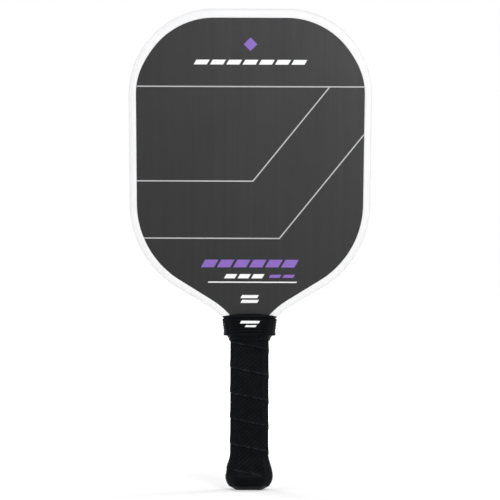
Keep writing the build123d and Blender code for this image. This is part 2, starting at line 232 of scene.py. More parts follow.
def spaced_round(corners, count):
    """Evenly spaced points round an outline from its rear middle, each with its way out."""
    steps = list(zip(corners, corners[1:] + corners[:1]))
    total = sum((b - a).length for a, b in steps)
    begun = 0.0
    for a, b in steps:
        if a.y > 0 and a.x > 0 >= b.x:
            break
        begun += (b - a).length
    start = begun + (a.x / (a.x - b.x)) * (b - a).length
    points = []
    for index in range(count):
        left = (start + total * index / count) % total
        for a, b in steps:
            reach = (b - a).length
            if left <= reach:
                break
            left -= reach
        points.append(a.lerp(b, min(1.0, left / reach)))
    ring = []
    for index, point in enumerate(points):
        way = points[(index + 1) % count] - points[index - 1]
        ring.append((point, Vector((way.y, -way.x, 0)).normalized()))
    return ring


def circle_round(radius, count):
    """Evenly spaced points round a circle from its rear middle."""
    turns = [pi / 2 + 2 * pi * index / count for index in range(count)]
    return [Vector((radius * cos(turn), radius * sin(turn), 0)) for turn in turns]


def eased(share):
    share = max(0.0, min(1.0, share))
    return share * share * (3 - 2 * share)


def growth_at(handle, height):
    """How far the handle stands out beyond the straight grip at a height."""
    if height >= handle.flare_start:
        return 0.0
    if height >= handle.flare_widest:
        share = (handle.flare_start - height) / (handle.flare_start - handle.flare_widest)
        return handle.flare_growth * (1 - cos(pi * share)) / 2
    below = handle.flare_widest - height
    return handle.flare_growth - handle.knob_radius + sqrt(handle.knob_radius**2 - below**2)


# ---- finishes ----


def add_node(tree, kind, settings=None, **inputs):
    """A node with its settings and inputs, where an input is a value or another node's output."""
    node = tree.nodes.new(kind)
    for name, value in (settings or {}).items():
        setattr(node, name, value)
    for name, value in inputs.items():
        socket = node.inputs[int(name[1:]) if name[0] == "_" else name.replace("_", " ")]
        if isinstance(value, bpy.types.NodeSocket):
            tree.links.new(value, socket)
        else:
            socket.default_value = value
    return node


def math_of(tree, operation, a, b=0.0):
    return add_node(tree, "ShaderNodeMath", {"operation": operation}, _0=a, _1=b).outputs[0]


def remap(tree, value, low, high, to_low, to_high):
    return add_node(
        tree, "ShaderNodeMapRange",
        Value=value, From_Min=low, From_Max=high, To_Min=to_low, To_Max=to_high,
    ).outputs[0]


def mix_colour(tree, share, a, b):
    node = add_node(tree, "ShaderNodeMix", {"data_type": "RGBA"})
    for socket, value in ((node.inputs[0], share), (node.inputs[6], a), (node.inputs[7], b)):
        if isinstance(value, bpy.types.NodeSocket):
            tree.links.new(value, socket)
        else:
            socket.default_value = value
    return node.outputs[2]


def new_group(name, inputs, outputs):
    """An empty shader group with its sockets, each input with its default."""
    group = bpy.data.node_groups.new(name, "ShaderNodeTree")
    for title, (kind, default) in inputs.items():
        socket = group.interface.new_socket(name=title, in_out="INPUT", socket_type=kind)
        if default is not None:
            socket.default_value = default
    for title, kind in outputs.items():
        group.interface.new_socket(name=title, in_out="OUTPUT", socket_type=kind)
    return group, group.nodes.new("NodeGroupInput"), group.nodes.new("NodeGroupOutput")


def make_moulded_surface():
    """Cloudy tone, sparse rubbed patches and fine grain, as moulded plastic and rubber have."""
    group, given, made = new_group(
        "moulded_surface",
        {
            "Place": ("NodeSocketVector", None),
            "Light Tone": ("NodeSocketColor", None),
            "Dark Tone": ("NodeSocketColor", None),
            "Cloud Size": ("NodeSocketFloat", 40.0),
            "Grain Size": ("NodeSocketFloat", 1500.0),
            "Gloss Low": ("NodeSocketFloat", 0.4),
            "Gloss High": ("NodeSocketFloat", 0.55),
        },
        {"Tone": "NodeSocketColor", "Roughness": "NodeSocketFloat", "Grain": "NodeSocketFloat"},
    )
    place = given.outputs["Place"]
    cloud = add_node(
        group, "ShaderNodeTexNoise", Vector=place, Scale=given.outputs["Cloud Size"], Detail=4.0
    )
    grain = add_node(
        group, "ShaderNodeTexNoise", Vector=place, Scale=given.outputs["Grain Size"], Detail=2.0
    )
    rubbed = add_node(group, "ShaderNodeTexNoise", Vector=place, Scale=90.0, Detail=6.0)
    share = remap(group, cloud.outputs["Fac"], 0.35, 0.65, 0.0, 1.0)
    tone = mix_colour(group, share, given.outputs["Dark Tone"], given.outputs["Light Tone"])
    patch = remap(group, rubbed.outputs["Fac"], 0.4, 0.7, 0.0, 1.0)
    rough = remap(group, patch, 0.0, 1.0, given.outputs["Gloss High"], given.outputs["Gloss Low"])
    group.links.new(tone, made.inputs["Tone"])
    group.links.new(rough, made.inputs["Roughness"])
    group.links.new(grain.outputs["Fac"], made.inputs["Grain"])
    return group


def make_laid_fibres():
    """Long streaks down the ply and the fine cross weave that a peel cloth leaves."""
    group, given, made = new_group(
        "laid_fibres",
        {"Place": ("NodeSocketVector", None), "Weave Size": ("NodeSocketFloat", 900.0)},
        {"Streak": "NodeSocketFloat", "Weave": "NodeSocketFloat"},
    )
    place = given.outputs["Place"]
    drawn = add_node(
        group, "ShaderNodeMapping", {"vector_type": "POINT"}, Vector=place, Scale=(260.0, 260.0, 7.0)
    )
    streak = add_node(
        group, "ShaderNodeTexNoise", Vector=drawn.outputs[0], Scale=1.0, Detail=5.0, Roughness=0.6
    )
    clouds = add_node(group, "ShaderNodeTexNoise", Vector=place, Scale=14.0, Detail=3.0)
    both = math_of(group, "ADD", streak.outputs["Fac"], clouds.outputs["Fac"])
    group.links.new(remap(group, both, 0.7, 1.3, 0.0, 1.0), made.inputs["Streak"])
    waves = [
        add_node(
            group, "ShaderNodeTexWave", {"wave_type": "BANDS", "bands_direction": direction},
            Vector=place, Scale=given.outputs["Weave Size"], Distortion=1.5, Detail=1.0,
        ).outputs["Fac"]
        for direction in ("X", "Z")
    ]
    group.links.new(math_of(group, "MULTIPLY", *waves), made.inputs["Weave"])
    return group


def tone(rgb, share=1.0):
    return (*[channel * share for channel in rgb], 1.0)


def start_material(name):
    """A material with its shader, and the object's own coordinates."""
    material = bpy.data.materials.new(name)
    material.use_nodes = True
    tree = material.node_tree
    shader = next(node for node in tree.nodes if node.type == "BSDF_PRINCIPLED")
    place = tree.nodes.new("ShaderNodeTexCoord").outputs["Object"]
    return material, tree, shader, place


def bump_of(tree, height, strength, distance):
    return add_node(
        tree, "ShaderNodeBump", Height=height, Strength=strength, Distance=distance
    ).outputs[0]


def moulded_material(
    name, rgb, contrast, gloss, grain, bump, specular=0.5, cloud_size=40.0, sunk=0.0, worn=0.0
):
    """Moulded plastic, rubber or film, from the shared group.

    Sunk places are darker by a share, as painted shade, and raised edges lighter by a factor, as a painted
    highlight, in broken dashes.
    """
    material, tree, shader, place = start_material(name)
    surface = add_node(
        tree, "ShaderNodeGroup", {"node_tree": bpy.data.node_groups["moulded_surface"]},
        Place=place, Light_Tone=tone(rgb, 1 + contrast), Dark_Tone=tone(rgb, 1 - contrast),
        Cloud_Size=cloud_size, Grain_Size=grain, Gloss_Low=gloss[0], Gloss_High=gloss[1],
    )
    shown = surface.outputs["Tone"]
    # painted shade: sunk places, such as holes and grooves, are darkened by a share
    if sunk:
        holes = add_node(tree, "ShaderNodeAttribute", {"attribute_name": "sunk"})
        share = math_of(tree, "MULTIPLY", holes.outputs["Fac"], sunk)
        shown = mix_colour(tree, share, shown, tone(rgb, 0.05))
    # painted highlight: raised edges are lightened by a factor, in broken dashes
    if worn:
        edges = add_node(tree, "ShaderNodeAttribute", {"attribute_name": "worn"})
        broken = add_node(tree, "ShaderNodeTexNoise", Vector=place, Scale=260.0, Detail=2.0)
        dashes = remap(tree, broken.outputs["Fac"], 0.42, 0.58, 0.1, 1.0)
        share = math_of(tree, "MULTIPLY", edges.outputs["Fac"], dashes)
        shown = mix_colour(tree, share, shown, tone(rgb, worn))
    tree.links.new(shown, shader.inputs["Base Color"])
    tree.links.new(surface.outputs["Roughness"], shader.inputs["Roughness"])
    tree.links.new(
        bump_of(tree, surface.outputs["Grain"], bump, 0.1 * mm), shader.inputs["Normal"]
    )
    shader.inputs["Specular IOR Level"].default_value = specular
    return material


def fibre_material(name, rgb, contrast, gloss, bump, specular=0.5, weave_size=900.0):
    """A ply or a print on it, from the shared group."""
    material, tree, shader, place = start_material(name)
    laid = add_node(
        tree, "ShaderNodeGroup", {"node_tree": bpy.data.node_groups["laid_fibres"]},
        Place=place, Weave_Size=weave_size,
    )
    streaked = mix_colour(
        tree, laid.outputs["Streak"], tone(rgb, 1 - contrast), tone(rgb, 1 + contrast)
    )
    tree.links.new(streaked, shader.inputs["Base Color"])
    tree.links.new(
        remap(tree, laid.outputs["Streak"], 0.0, 1.0, gloss[1], gloss[0]),
        shader.inputs["Roughness"],
    )
    tree.links.new(
        bump_of(tree, laid.outputs["Weave"], bump, 0.05 * mm), shader.inputs["Normal"]
    )
    shader.inputs["Specular IOR Level"].default_value = specular
    return material


def steel_material(name):
    """Drawn steel wire, brushed along its length."""
    material, tree, shader, place = start_material(name)
    drawn = add_node(tree, "ShaderNodeMapping", Vector=place, Scale=(60.0, 900.0, 900.0))
    lines = add_node(tree, "ShaderNodeTexNoise", Vector=drawn.outputs[0], Scale=1.0, Detail=3.0)
    shaded = mix_colour(tree, lines.outputs["Fac"], tone((0.42,) * 3), tone((0.62,) * 3))
    tree.links.new(shaded, shader.inputs["Base Color"])
    tree.links.new(
        remap(tree, lines.outputs["Fac"], 0.3, 0.7, 0.28, 0.45), shader.inputs["Roughness"]
    )
    shader.inputs["Metallic"].default_value = 1.0
    return material


def make_finishes(colours):
    """Every material of the paddle, by the slot that it finishes."""
    make_moulded_surface()
    make_laid_fibres()
    return {
        "carbon_face": fibre_material(
            "carbon_face_finish", colours.carbon, 0.22, (0.30, 0.38), 0.35, specular=0.21
        ),
        "line_ink": fibre_material("line_ink_finish", colours.pin_line, 0.04, (0.42, 0.5), 0.2),
        "white_ink": fibre_material("white_ink_finish", colours.white, 0.02, (0.42, 0.5), 0.2),
        "violet_ink": fibre_material("violet_ink_finish", colours.violet, 0.05, (0.42, 0.5), 0.2),
        "guard_plastic": moulded_material(
            "guard_plastic_finish", colours.guard, 0.012, (0.30, 0.38), 900.0, 0.05, specular=0.3
        ),
        # the grip's overlap edges get a painted highlight, and its vent holes and seam grooves painted
        # shade
        "grip_cushion": moulded_material(
            "grip_cushion_finish", colours.grip, 0.30, (0.48, 0.62), 1100.0, 0.6,
            specular=0.045, cloud_size=160.0, sunk=0.9, worn=4.5,
        ),
        "collar_rubber": moulded_material(
            "collar_rubber_finish", colours.rubber, 0.12, (0.38, 0.5), 1800.0, 0.2, specular=0.04
        ),
        "cap_plastic": moulded_material(
            "cap_plastic_finish", colours.cap, 0.10, (0.34, 0.46), 1600.0, 0.12, specular=0.05
        ),
        "disc_plastic": moulded_material(
            "disc_plastic_finish", (0.02, 0.02, 0.022), 0.08, (0.3, 0.4), 1600.0, 0.1, specular=0.3
        ),
        "finishing_film": moulded_material(
            "finishing_film_finish", (0.012, 0.012, 0.013), 0.1, (0.25, 0.35), 700.0, 0.1
        ),
        "core_plastic": moulded_material(
            "core_plastic_finish", (0.70, 0.72, 0.72), 0.05, (0.35, 0.5), 800.0, 0.1
        ),
        "scrim_fleece": fibre_material("scrim_fleece_finish", (0.75,) * 3, 0.1, (0.8, 0.95), 0.6),
        "glass_ply": fibre_material("glass_ply_finish", (0.30, 0.33, 0.30), 0.12, (0.3, 0.4), 0.4),
        "edge_tape_foam": moulded_material(
            "edge_tape_foam_finish", (0.55, 0.55, 0.53), 0.06, (0.75, 0.9), 1500.0, 0.5
        ),
        "pallet_plastic": moulded_material(
            "pallet_plastic_finish", (0.06, 0.06, 0.065), 0.08, (0.45, 0.6), 900.0, 0.3
        ),
        "staple_steel": steel_material("staple_steel_finish"),
    }


# ---- shapes of the pieces ----


def shape_grip(handle, columns=240, rows_per_turn=48, hole_every=8):
    """The cushion wrap: one strip wound up the handle, each turn over the edge of the one below."""
    ring = spaced_round(
        outline_of(handle.width, handle.depth, handle.bevel, handle.bevel * handle.round_ratio),
        columns,
    )
    pitch = handle.wrap_pitch
    row_pitch = pitch / rows_per_turn
    # rows follow the seams, so a row falls by one pitch on its way round
    turns_below = 2
    lowest = handle.wrap_seam - (turns_below - 0.5) * pitch
    turns = ceil((grip_high.z - lowest) / pitch) + 1
    first_seam = turns_below * rows_per_turn
    start_blend = 0.035  # share of a turn over which the tape's end runs out on the film
    wrap_set_in, film_set_in = 0.25 * mm, 0.2 * mm
    hole_free_below, hole_free_above = 1.5 * mm, 1.2 * mm
    hole_full, hole_fade = 1.35, 1.6  # a hole's depth and width, in steps of the grid
    groove_on_seam, groove_width = 0.6, 0.9 * mm
    edge_rise = {0: 0.0, 1: 0.75}  # an overlap's share of its height in its first rows
    # where the painted highlight runs above a seam, and how wide it is
    worn_above, worn_width = 1.0 * mm, 0.75 * mm
    # share of painted shade in the groove under an overlap
    groove_shade = 0.8

    def above_seam(row):
        return (row % rows_per_turn) * row_pitch

    def bare(column, row):
        """1 on the cap's film below the first seam, 0 on the tape."""
        return eased(column / columns / start_blend) if row < first_seam else 0.0

    def hole(column, row):
        """1 in the middle of a vent hole, 0 outside it. The holes stand in staggered rows."""
        if not hole_free_below < above_seam(row) < pitch - hole_free_above:
            return 0.0
        half = hole_every / 2
        across = abs(column % hole_every - half)
        up = abs(row % hole_every - half)
        nearest = min(hypot(half - across, half - up), hypot(across, up))
        return eased(hole_full - nearest / hole_fade) * (1 - bare(column, row))

    def groove(row):
        """1 at the bottom of the groove under an overlapping edge."""
        if row % rows_per_turn == 0:
            return groove_on_seam
        return exp(-(((pitch - above_seam(row)) / groove_width) ** 2))

    def relief(column, row):
        proud = handle.wrap_proud * exp(-above_seam(row) / handle.wrap_overlap)
        proud *= edge_rise.get(row % rows_per_turn, 1.0)
        tape = proud - handle.wrap_groove * groove(row) - handle.hole_depth * hole(column, row)
        return tape + (-film_set_in - tape) * bare(column, row)

    def place(column, row):
        point, outward = ring[column % columns]
        height = lowest + row * row_pitch - pitch * column / columns
        grown = growth_at(handle, max(height, grip_low.z)) + relief(column, row) - wrap_set_in
        return point + outward * min(grown, handle.flare_growth) + Vector((0, 0, height))

    # painted shade in the vent holes and in the grooves under the overlaps
    def sunk(column, row):
        return max(hole(column, row), groove_shade * groove(row) * (1 - bare(column, row)))

    def worn(column, row):
        """1 along the raised edge of an overlap, which is lightened there as a painted highlight."""
        from_edge = above_seam(row) - worn_above
        return exp(-((from_edge / worn_width) ** 2)) * (1 - bare(column, row))

    # the marks carry painted shade and a painted highlight to the grip's finish
    marks = {"sunk": sunk, "worn": worn}
    shape = bent_grid(columns, turns * rows_per_turn, place, marks)
    for level, way in ((grip_high.z, 1), (grip_low.z, -1)):
        bmesh.ops.bisect_plane(
            shape,
            geom=shape.verts[:] + shape.edges[:] + shape.faces[:],
            plane_co=(0, 0, level),
            plane_no=(0, 0, way),
            clear_outer=True,
        )
    # turn both rims in, and follow the flare up the inside before joining them
    inner_edges = []
    straight = handle.flare_start + 1 * mm
    steps = [grip_low.z + (straight - grip_low.z) * step / 5 for step in range(6)]
    for levels in (steps, [grip_high.z]):
        rim = [
            edge
            for edge in shape.edges
            if edge.is_boundary and all(abs(v.co.z - levels[0]) < 0.01 * mm for v in edge.verts)
        ]
        drawn_in = handle.thickness
        for index, level in enumerate(levels):
            if index:
                drawn_in = growth_at(handle, levels[index - 1]) - growth_at(handle, level)
            turned = bmesh.ops.extrude_edge_only(shape, edges=rim)["geom"]
            for vert in (item for item in turned if isinstance(item, bmesh.types.BMVert)):
                reach = hypot(vert.co.x, vert.co.y)
                vert.co.x *= 1 - drawn_in / reach
                vert.co.y *= 1 - drawn_in / reach
                vert.co.z = level
            rim = [item for item in turned if isinstance(item, bmesh.types.BMEdge)]
        inner_edges += rim
    bmesh.ops.bridge_loops(shape, edges=inner_edges)
    return shape


def collar_profile(collar):
    """The collar's outside from its foot to its lip, row by row.

    A row says how far it stands beyond the grip, across and through, and at what height. The lip's last
    rows add what share of the way they lie from there to the arched top.
    """
    low = collar_low.z
    skirt_top = low + collar.skirt
    bead_top = skirt_top + collar.bead
    rib_pitch = collar.rib_land + collar.rib_gap
    lip_bottom = bead_top + collar.ribs * rib_pitch + collar.notch
    foot = (collar.foot_out, collar.foot_out)
    neck = (collar.neck_out, collar.neck_deep)
    bead = (collar.bead_out, collar.bead_deep)
    barrel_foot = (collar.barrel_foot_out, collar.barrel_foot_deep)
    barrel_top = (collar.barrel_top_out, collar.barrel_top_deep)
    lip = (collar.lip_out, collar.lip_deep)

    def inside(place, drawn_in, *level):
        return (place[0] - drawn_in, place[1] - drawn_in, *level)

    def between(start, end, share, *level):
        return (*[a + (b - a) * share for a, b in zip(start, end)], *level)

    # the skirt swells slowly from its foot to its neck
    toe, neck_room, swelling = 0.2 * mm, 1.0 * mm, 1.6
    rows = [inside(foot, toe, low), inside(foot, 0.0, low + toe)]
    for share in (0.25, 0.5, 0.75, 1.0):
        level = low + toe + (collar.skirt - neck_room) * share
        rows.append(between(foot, neck, share**swelling, level))
    # a sharp step out to the bead, its flat, and the step in to the barrel
    flat_end = collar.edge / 2
    rows += [
        (neck[0] + 0.25 * mm, neck[1] + 0.1 * mm, skirt_top - 0.62 * mm),
        (bead[0] - 0.6 * mm, bead[1] - 0.35 * mm, skirt_top - 0.5 * mm),
        (bead[0] - 0.12 * mm, bead[1] - 0.1 * mm, skirt_top - 0.25 * mm),
        (*bead, skirt_top + flat_end),
        (*bead, bead_top - flat_end),
        inside(bead, 0.15 * mm, bead_top - flat_end / 2),
        inside(bead, 0.45 * mm, bead_top - 0.05 * mm),
        inside(barrel_foot, collar.rib_depth, bead_top + 0.1 * mm),
    ]
    # a rib's edge: share of the rib's depth, and steps up from its foot or down from its head
    soft = 0.14 * mm
    rib_edge = ((1.0, -1), (0.45, 0), (0.1, 1), (0.0, 2))
    for rib in range(collar.ribs):
        place = between(barrel_foot, barrel_top, rib / (collar.ribs - 1))
        rib_foot = bead_top + rib * rib_pitch + collar.rib_gap
        rib_head = rib_foot + collar.rib_land
        for sunk, steps in rib_edge:
            rows.append(inside(place, collar.rib_depth * sunk, rib_foot + steps * soft))
        for sunk, steps in reversed(rib_edge):
            rows.append(inside(place, collar.rib_depth * sunk, rib_head - steps * soft))
    # the notch, and the lip's rounded underside, side and rim
    rows += [
        inside(lip, collar.notch_depth, lip_bottom - 0.7 * collar.notch),
        inside(lip, collar.notch_depth, lip_bottom - 0.15 * mm),
        inside(lip, 0.45 * mm, lip_bottom + 0.02 * mm),
        inside(lip, 0.1 * mm, lip_bottom + 0.25 * mm),
    ]
    for drawn_in, share in ((0.0, 0.3), (0.0, 0.62), (0.12, 0.82), (0.4, 0.95), (0.8, 1.0)):
        rows.append(inside(lip, drawn_in * mm, lip_bottom, share))
    return rows


def shape_collar(handle, collar, columns=192):
    """The rubber collar: skirt, bead, ribs, notch and arched lip, hollow over the handle."""
    half = handle.width / 2 + collar.lip_out
    arch_radius = (half**2 + collar.arch**2) / (2 * collar.arch)
    toe_height = collar.skirt * 0.1
    side_share, side_rounding = 0.3, 1.1  # the barrel's bevel per depth, and its rounding per bevel

    def arched(across):
        return collar_high.z - arch_radius + sqrt(arch_radius**2 - across**2)

    def ring(width, depth, bevel, rounding, level, share=0.0):
        """A ring at a level, or a share of the way from there to the arched top."""
        outline = outline_of(width, depth, bevel, rounding)
        return [
            point + Vector((0, 0, level + (arched(point.x) - level) * share))
            for point, _ in spaced_round(outline, columns)
        ]

    rings = []
    for wide, deep, level, *share in collar_profile(collar):
        depth = handle.depth + 2 * deep
        bevel, rounding = depth * side_share, depth * side_share * side_rounding
        if level < collar_low.z + toe_height:
            bevel = rounding = handle.bevel
        rings.append(ring(handle.width + 2 * wide, depth, bevel, rounding, level, *share))
    # down the slot for the panel: its half width, a level, and a share of the way to the arched top
    slot_depth = 2 * (0.1 * mm - face_low.y)
    slot_bevel, slot_rounding = 0.5 * mm, 0.4 * mm
    slot_foot = 139.4 * mm
    for half_wide, level, share in (
        (21.6 * mm, 0.0, 1.0), (18.4 * mm, 142.0 * mm, 0.0), (16.1 * mm, slot_foot, 0.0)
    ):
        rings.append(ring(2 * half_wide, slot_depth, slot_bevel, slot_rounding, level, share))
    # round the inside, over the handle and then over the grip's top end
    bare_handle = (handle.width - 3.2 * mm, handle.depth - 3.2 * mm)
    over_grip = (handle.width + 0.6 * mm, handle.depth + 0.6 * mm)
    grip_end = grip_high.z + 0.4 * mm
    inner_bevel, inner_rounding = 5 * mm, 3 * mm
    for size, level in (
        (bare_handle, slot_foot), (bare_handle, grip_end), (over_grip, grip_end), (over_grip, collar_low.z)
    ):
        rings.append(ring(*size, inner_bevel, inner_rounding, level))
    return skin_of([*rings, rings[0]])


def shape_collar_mark(handle, collar):
    """Slanted bars of raised ink that lie on the barrel's ribs, front and rear."""
    shape = bmesh.new()
    bead_top = collar_low.z + collar.skirt + collar.bead
    barrel = collar.ribs * (collar.rib_land + collar.rib_gap)
    rise_in = (collar.barrel_foot_deep - collar.barrel_top_deep) / barrel
    ink, slant = 0.12 * mm, radians(60)
    # each bar's place across and up, its width and its height, in mm
    for across, up, wide, high in ((0.3, 8.6, 15.5, 2.2), (0.9, 5.0, 9.0, 2.2)):
        grid = bmesh.ops.create_grid(shape, x_segments=8, y_segments=2, size=0.5)
        for vert in grid["verts"]:
            level = vert.co.y * high * mm
            x = across * mm + vert.co.x * wide * mm + level / tan(slant)
            z = bead_top + up * mm + level
            y = -(handle.depth / 2 + collar.barrel_foot_deep - (z - bead_top) * rise_in)
            vert.co = (x, y, z)
    solid = bmesh.ops.extrude_face_region(shape, geom=shape.faces[:])["geom"]
    moved = [item for item in solid if isinstance(item, bmesh.types.BMVert)]
    bmesh.ops.translate(shape, verts=moved, vec=(0, -ink, 0))
    twin = bmesh.ops.duplicate(shape, geom=shape.verts[:] + shape.edges[:] + shape.faces[:])
    turned = [item for item in twin["geom"] if isinstance(item, bmesh.types.BMVert)]
    for vert in turned:
        vert.co.x *= -1
        vert.co.y *= -1
    return shape


def shape_cap(handle, columns=192):
    """The butt cap: a rounded knob with a flat end, a recess for its disc, and a hollow sleeve."""
    base = outline_of(handle.width, handle.depth, handle.bevel, handle.bevel * handle.round_ratio)
    ring = spaced_round(base, columns)
    recess, recess_depth = 5.5 * mm, 0.8 * mm
    rim, rim_depth = 0.15 * mm, 0.12 * mm
    shoulder = 3.9 * mm
    grip_gap, tucked_in = 0.1 * mm, 0.25 * mm
    sleeve_in, bore_in, bore_floor = 2.2 * mm, 2.4 * mm, 4 * mm

    def section(beyond, level):
        return [point + outward * beyond + Vector((0, 0, level)) for point, outward in ring]

    def circle(radius, level):
        return [point + Vector((0, 0, level)) for point in circle_round(radius, columns)]

    rings = [
        [Vector((0, 0, recess_depth))] * columns,
        circle(recess, recess_depth),
        circle(recess, rim_depth),
        circle(recess + rim, 0.0),
    ]
    # the rounded end: how far each ring stands beyond the straight grip, and its height, in mm
    for beyond, level in (
        (-6.9, 0.0), (-6.3, 0.06), (-5.6, 0.32), (-4.2, 0.98), (-2.7, 1.72), (-1.2, 2.48), (-0.1, 3.05),
        (0.5, 3.45), (0.9, 3.85),
    ):
        rings.append(section(beyond * mm, level * mm))
    # the knob, tucked in at its top where the wrap takes over
    outside_top = grip_low.z - grip_gap
    knob_steps = 12
    for step in range(1, knob_steps + 1):
        level = shoulder + (outside_top - shoulder) * step / knob_steps
        tucked = tucked_in if step == knob_steps else 0.0
        rings.append(section(growth_at(handle, level) - tucked, level))
    # the sleeve under the wrap, and its bore
    sleeve_steps = 4
    for step in range(sleeve_steps + 1):
        level = outside_top + (cap_high.z - outside_top) * step / sleeve_steps
        rings.append(section(growth_at(handle, level) - sleeve_in, level))
    rings += [section(-bore_in, cap_high.z), section(-bore_in, bore_floor)]
    rings.append([Vector((0, 0, bore_floor))] * columns)
    return skin_of(rings)


def guard_path(head, inset, collar_arch, half_lip):
    """Half of the guard's run, from the top's middle to the collar, drawn in by inset."""
    half_width = guard_high.x
    top = guard_high.z
    shoulder = (half_width - head.shoulder_radius, top - head.shoulder_radius)
    throat = (head.throat_across, collar_high.z - head.throat_drop)
    lower_x = half_width - head.side_taper - head.lower_radius
    turning = head.lower_radius + head.throat_radius
    run = (lower_x + turning * sin(head.slope) - throat[0]) / cos(head.slope)
    lower = (lower_x, throat[1] + turning * cos(head.slope) + run * sin(head.slope))
    dx, dz = shoulder[0] - lower[0], shoulder[1] - lower[1]
    side = atan2(dz, dx) - acos((head.lower_radius - head.shoulder_radius) / hypot(dx, dz))
    over_collar = 0.1 * mm
    arch_radius = (half_lip**2 + collar_arch**2) / (2 * collar_arch) + over_collar
    arch = (0.0, collar_high.z + over_collar - arch_radius)
    hollow = head.throat_radius + inset
    apart = hypot(throat[0] - arch[0], throat[1] - arch[1])
    reach = (hollow**2 - arch_radius**2 + apart**2) / (2 * apart)
    towards = atan2(arch[1] - throat[1], arch[0] - throat[0]) + 2 * pi
    throat_end = towards - acos(reach / hollow)

    def arc(centre, radius, start, end, steps):
        turns = [start + (end - start) * step / steps for step in range(steps + 1)]
        return [Vector((centre[0] + radius * cos(a), 0, centre[1] + radius * sin(a))) for a in turns]

    def straight(a, b, steps):
        return [a.lerp(b, step / steps) for step in range(1, steps)]

    crown = Vector((0, 0, top - inset))
    shoulder_arc = arc(shoulder, head.shoulder_radius - inset, pi / 2, side, 40)
    lower_arc = arc(lower, head.lower_radius - inset, side, head.slope - pi / 2, 34)
    throat_arc = arc(throat, hollow, pi / 2 + head.slope, throat_end, 12)
    return [
        crown,
        *straight(crown, shoulder_arc[0], 5),
        *shoulder_arc,
        *straight(shoulder_arc[-1], lower_arc[0], 8),
        *lower_arc,
        *straight(lower_arc[-1], throat_arc[0], 6),
        *throat_arc,
    ]


def guard_section(head):
    """The U-channel's section, all round: how far in from the outside, and from the middle."""
    half = guard_high.y
    bead = head.bead_radius
    level = half - 0.1 * mm
    spine_top = half * 0.45
    groove_start, groove_end = bead + 0.16 * mm, bead + 0.32 * mm
    crown_start, crown_room, crown_drop = bead + 0.55 * mm, 0.12 * mm, 0.03 * mm
    rounding, rounding_drop = 0.6 * mm, 0.04 * mm
    crown_end = head.lip - rounding
    panel = 0.02 * mm - face_low.y
    outer = [(0.0, 0.0), (0.0, spine_top)]
    for step in range(7):
        turn = pi / 2 * step / 6
        outer.append((bead - bead * cos(turn), level - bead + bead * sin(turn)))
    outer += [(groove_start, level - head.groove), (groove_end, level - head.groove)]
    outer.append((crown_start, level - crown_drop))
    for step in range(1, 6):
        share = step / 6
        bulge = min(head.crown * sin(pi * share), crown_room)
        outer.append((crown_start + (crown_end - crown_start) * share, level - crown_drop + bulge))
    for step in range(5):
        turn = pi / 2 * step / 4
        drop = rounding * (1 - cos(turn)) + rounding_drop
        outer.append((crown_end + rounding * sin(turn), level - drop))
    outer += [(head.lip - 0.05 * mm, panel), (head.spine, panel), (head.spine, 0.0)]
    front = [(inset, -away) for inset, away in outer]
    back = [(inset, away) for inset, away in reversed(outer[1:-1])]
    return front + back


def shape_guard(head, collar, handle):
    """The edge guard: a U-channel with a bead, run round the panel from collar to collar."""
    section = guard_section(head)
    half_lip = handle.width / 2 + collar.lip_out
    outer = guard_path(head, 0.0, collar.arch, half_lip)
    widens_from = 2 * head.bead_radius
    paths = []
    for inset, away in section:
        right = guard_path(head, inset, collar.arch, half_lip)
        if inset > widens_from and abs(away) > -face_low.y:
            share = (inset - widens_from) / (head.lip - widens_from)
            for point, edge in zip(right, outer):
                risen = (edge.z - head.top_lip_start) / (head.top_lip_full - head.top_lip_start)
                point += (point - edge).normalized() * head.top_lip * share * eased(risen)
        left = [Vector((-point.x, 0, point.z)) for point in reversed(right[1:])]
        paths.append([point + Vector((0, away, 0)) for point in left + right])
    columns = len(paths[0]) - 1
    rows = len(paths)
    shape = bent_grid(columns, rows, lambda column, row: paths[row % rows][column])
    ends = [edge for edge in shape.edges if edge.is_boundary]
    bmesh.ops.holes_fill(shape, edges=ends, sides=0)
    return shape


# ---- operators ----


class PADDLE_OT_finishes(bpy.types.Operator):
    """Makes every finish, and puts each on the frame's own pieces"""

    bl_idname = "paddle.finishes"
    bl_label = "Finishes"

    def execute(self, context):
        finishes = make_finishes(context.scene.paddle_colours)
        node_slots = {
            "honeycomb_core": "core_plastic",
            "front_scrim": "scrim_fleece",
            "rear_scrim": "scrim_fleece",
            "front_glass_ply": "glass_ply",
            "rear_glass_ply": "glass_ply",
            "front_carbon_face": "carbon_face",
            "rear_carbon_face": "carbon_face",
            "edge_tape": "edge_tape_foam",
            "edge_guard": "guard_plastic",
            "front_pallet": "pallet_plastic",
            "rear_pallet": "pallet_plastic",
            "butt_cap": "cap_plastic",
            "end_disc": "disc_plastic",
            "butt_cap_staples": "staple_steel",
            "grip_tape": "grip_cushion",
            "finishing_tape": "finishing_film",
            "collar": "collar_rubber",
            "pin_lines": "line_ink",
            "white_marks": "white_ink",
            "violet_marks": "violet_ink",
        }
        for name, slot in node_slots.items():
            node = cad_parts[name]
            for index in range(len(node.material_slots)):
                node.material_slots[index].material = finishes[slot]
        return {"FINISHED"}


class PieceOperator:
    """What the operators for single pieces share."""

    def place_piece(self, name, shape, slot, node=None):
        """Makes a piece that rides on the paddle, and hides the frame's node that it stands for."""
        piece = link_piece(name, shape, bpy.data.materials[slot + "_finish"])
        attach(piece, "root")
        if node:
            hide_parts(node)
        return piece


class PADDLE_OT_grip(bpy.types.Operator, PieceOperator):
    """Winds the cushion grip up the handle"""

    bl_idname = "paddle.grip"
    bl_label = "Cushion grip"

    def execute(self, context):
        shape = shape_grip(context.scene.paddle_handle)
        piece = self.place_piece("cushion_grip", shape, "grip_cushion", "grip_tape")
        return {"FINISHED"}


